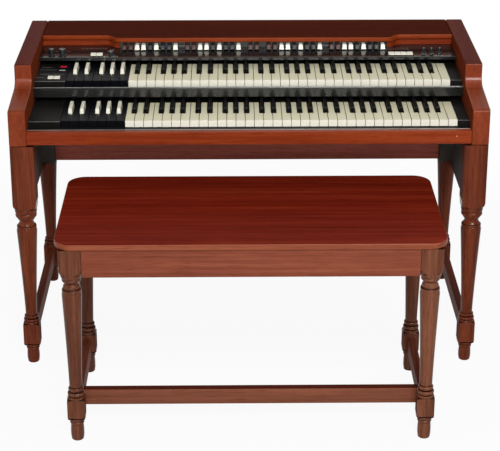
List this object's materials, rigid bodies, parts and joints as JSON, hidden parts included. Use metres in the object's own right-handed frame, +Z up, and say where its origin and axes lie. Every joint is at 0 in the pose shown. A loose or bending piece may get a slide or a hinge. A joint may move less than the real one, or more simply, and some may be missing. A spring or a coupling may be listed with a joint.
{
  "type": "tonewheel organ",
  "caption": "Compact two-manual tonewheel organ in a walnut case with S-curved cheeks, drawbars, preset keys, turned legs and stretchers, with its matching turned-leg bench.",
  "frame": {"origin": "on the floor, under the middle of the box round the organ and its bench", "axes": "+X to the player's right, +Y away from the player towards the back of the organ, +Z up"},
  "size_m": [1.212, 0.994, 0.784],
  "materials": {
    "walnut": "satin lacquered red-brown walnut with straight grain",
    "dark_walnut": "darker satin lacquered walnut",
    "bench_wood": "glossy lacquered reddish walnut",
    "ivory": "warm ivory white, semi-gloss",
    "ebony": "black, semi-gloss",
    "black_panel": "black satin enamel",
    "drawbar_white": "white drawbar cap",
    "drawbar_brown": "brown drawbar cap",
    "cream_tab": "cream rocker tab",
    "bare_steel": "zinc plated steel",
    "motor_paint": "grey enamel",
    "black_steel": "black satin paint"
  },
  "bodies": {
    "console": {"left_cheek": "walnut", "right_cheek": "walnut", "upper_rail": "walnut", "keyslip": "walnut", "front_left_leg": "walnut", "front_right_leg": "walnut", "rear_left_leg": "walnut", "rear_right_leg": "walnut", "left_stretcher": "walnut", "right_stretcher": "walnut", "top_lid": "dark_walnut", "bottom_board": "dark_walnut", "back_panel": "dark_walnut", "rear_apron": "dark_walnut", "lower_manual_frame": "black_panel", "upper_manual_frame": "black_panel", "manual_fascia": "black_panel", "control_shelf": "black_panel", "drawbar_panel": "black_panel", "mains_inlet": "black_panel", "generator_frame": "bare_steel", "amplifier": "bare_steel", "run_motor": "motor_paint", "left_side_frame": "black_steel", "right_side_frame": "black_steel"},
    "lower_naturals_body": {"lower_naturals": "ivory"},
    "lower_sharps_body": {"lower_sharps": "ebony"},
    "lower_preset_naturals_body": {"lower_preset_naturals": "ebony"},
    "lower_preset_sharps_body": {"lower_preset_sharps": "ivory"},
    "upper_naturals_body": {"upper_naturals": "ivory"},
    "upper_sharps_body": {"upper_sharps": "ebony"},
    "upper_preset_naturals_body": {"upper_preset_naturals": "ebony"},
    "upper_preset_sharps_body": {"upper_preset_sharps": "ivory"},
    "upper_first_drawbars_body": {"upper_first_drawbars": "drawbar_white"},
    "upper_second_drawbars_body": {"upper_second_drawbars": "drawbar_white"},
    "pedal_drawbars_body": {"pedal_drawbars": "drawbar_brown"},
    "lower_first_drawbars_body": {"lower_first_drawbars": "drawbar_white"},
    "lower_second_drawbars_body": {"lower_second_drawbars": "drawbar_white"},
    "volume_knob_body": {"volume_knob": "ebony"},
    "overdrive_knob_body": {"overdrive_knob": "ebony"},
    "vibrato_switch_body": {"vibrato_switch": "ebony"},
    "reverb_knob_body": {"reverb_knob": "ebony"},
    "bass_knob_body": {"bass_knob": "ebony"},
    "treble_knob_body": {"treble_knob": "ebony"},
    "vibrato_tabs_body": {"vibrato_tabs": "cream_tab"},
    "percussion_tabs_body": {"percussion_tabs": "cream_tab"},
    "preset_tabs_body": {"preset_tabs": "cream_tab"},
    "tonewheel_shaft_body": {"tonewheel_shaft": "bare_steel"},
    "bench": {"bench_front_apron": "walnut", "bench_front_left_leg": "walnut", "bench_front_right_leg": "walnut", "bench_left_apron": "walnut", "bench_left_stretcher": "walnut", "bench_long_stretcher": "walnut", "bench_rear_apron": "walnut", "bench_rear_left_leg": "walnut", "bench_rear_right_leg": "walnut", "bench_right_apron": "walnut", "bench_right_stretcher": "walnut", "bench_top": "bench_wood"}
  },
  "joints": [
    {"name": "lower_natural_press", "type": "hinge", "parent": "console", "child": "lower_naturals_body", "pos_m": [0, 0.145, 0.654], "axis": [1, 0, 0], "range_deg": [0, 3], "stiffness_Nm_per_rad": 45, "springref_deg": -5.16},
    {"name": "lower_sharp_press", "type": "hinge", "parent": "console", "child": "lower_sharps_body", "pos_m": [0, 0.158, 0.6765], "axis": [1, 0, 0], "range_deg": [0, 3], "stiffness_Nm_per_rad": 12, "springref_deg": -5.16},
    {"name": "lower_preset_natural_press", "type": "hinge", "parent": "console", "child": "lower_preset_naturals_body", "pos_m": [0, 0.145, 0.654], "axis": [1, 0, 0], "range_deg": [0, 3], "stiffness_Nm_per_rad": 8, "springref_deg": -5.16},
    {"name": "lower_preset_sharp_press", "type": "hinge", "parent": "console", "child": "lower_preset_sharps_body", "pos_m": [0, 0.158, 0.6765], "axis": [1, 0, 0], "range_deg": [0, 3], "stiffness_Nm_per_rad": 3, "springref_deg": -5.16},
    {"name": "upper_natural_press", "type": "hinge", "parent": "console", "child": "upper_naturals_body", "pos_m": [0, 0.311, 0.707], "axis": [1, 0, 0], "range_deg": [0, 3], "stiffness_Nm_per_rad": 45, "springref_deg": -5.16},
    {"name": "upper_sharp_press", "type": "hinge", "parent": "console", "child": "upper_sharps_body", "pos_m": [0, 0.324, 0.7295], "axis": [1, 0, 0], "range_deg": [0, 3], "stiffness_Nm_per_rad": 12, "springref_deg": -5.16},
    {"name": "upper_preset_natural_press", "type": "hinge", "parent": "console", "child": "upper_preset_naturals_body", "pos_m": [0, 0.311, 0.707], "axis": [1, 0, 0], "range_deg": [0, 3], "stiffness_Nm_per_rad": 8, "springref_deg": -5.16},
    {"name": "upper_preset_sharp_press", "type": "hinge", "parent": "console", "child": "upper_preset_sharps_body", "pos_m": [0, 0.324, 0.7295], "axis": [1, 0, 0], "range_deg": [0, 3], "stiffness_Nm_per_rad": 3, "springref_deg": -5.16},
    {"name": "upper_first_drawbar_pull", "type": "slide", "parent": "console", "child": "upper_first_drawbars_body", "axis": [0, -1, 0], "range_m": [0, 0.024]},
    {"name": "upper_second_drawbar_pull", "type": "slide", "parent": "console", "child": "upper_second_drawbars_body", "axis": [0, -1, 0], "range_m": [0, 0.024]},
    {"name": "pedal_drawbar_pull", "type": "slide", "parent": "console", "child": "pedal_drawbars_body", "axis": [0, -1, 0], "range_m": [0, 0.024]},
    {"name": "lower_first_drawbar_pull", "type": "slide", "parent": "console", "child": "lower_first_drawbars_body", "axis": [0, -1, 0], "range_m": [0, 0.024]},
    {"name": "lower_second_drawbar_pull", "type": "slide", "parent": "console", "child": "lower_second_drawbars_body", "axis": [0, -1, 0], "range_m": [0, 0.024]},
    {"name": "volume_knob_turn", "type": "hinge", "parent": "console", "child": "volume_knob_body", "pos_m": [-0.53, 0.269, 0.74956], "axis": [0, -0.0122, 0.9999], "range_deg": [-150, 150]},
    {"name": "overdrive_knob_turn", "type": "hinge", "parent": "console", "child": "overdrive_knob_body", "pos_m": [-0.501, 0.269, 0.74956], "axis": [0, -0.0122, 0.9999], "range_deg": [-150, 150]},
    {"name": "vibrato_switch_turn", "type": "hinge", "parent": "console", "child": "vibrato_switch_body", "pos_m": [-0.37, 0.268, 0.74954], "axis": [0, -0.0122, 0.9999], "range_deg": [-75, 75]},
    {"name": "reverb_knob_turn", "type": "hinge", "parent": "console", "child": "reverb_knob_body", "pos_m": [0.477, 0.281, 0.7497], "axis": [0, -0.0122, 0.9999], "range_deg": [-150, 150]},
    {"name": "bass_knob_turn", "type": "hinge", "parent": "console", "child": "bass_knob_body", "pos_m": [0.498, 0.281, 0.7497], "axis": [0, -0.0122, 0.9999], "range_deg": [-150, 150]},
    {"name": "treble_knob_turn", "type": "hinge", "parent": "console", "child": "treble_knob_body", "pos_m": [0.52, 0.281, 0.7497], "axis": [0, -0.0122, 0.9999], "range_deg": [-150, 150]},
    {"name": "vibrato_tab_tilt", "type": "hinge", "parent": "console", "child": "vibrato_tabs_body", "pos_m": [0, 0.264, 0.7496], "axis": [1, 0, 0], "range_deg": [-6, 6]},
    {"name": "percussion_tab_tilt", "type": "hinge", "parent": "console", "child": "percussion_tabs_body", "pos_m": [0, 0.264, 0.7496], "axis": [1, 0, 0], "range_deg": [-6, 6]},
    {"name": "preset_tab_tilt", "type": "hinge", "parent": "console", "child": "preset_tabs_body", "pos_m": [0, 0.141, 0.7244], "axis": [1, 0, 0], "range_deg": [-6, 6]},
    {"name": "tonewheel_spin", "type": "hinge", "parent": "console", "child": "tonewheel_shaft_body", "pos_m": [0, 0.424, 0.692], "axis": [1, 0, 0], "continuous": true},
    {"name": "bench_slide", "type": "slide", "parent": "console", "child": "bench", "axis": [0, -1, 0], "range_m": [0, 0.3]}
  ]
}
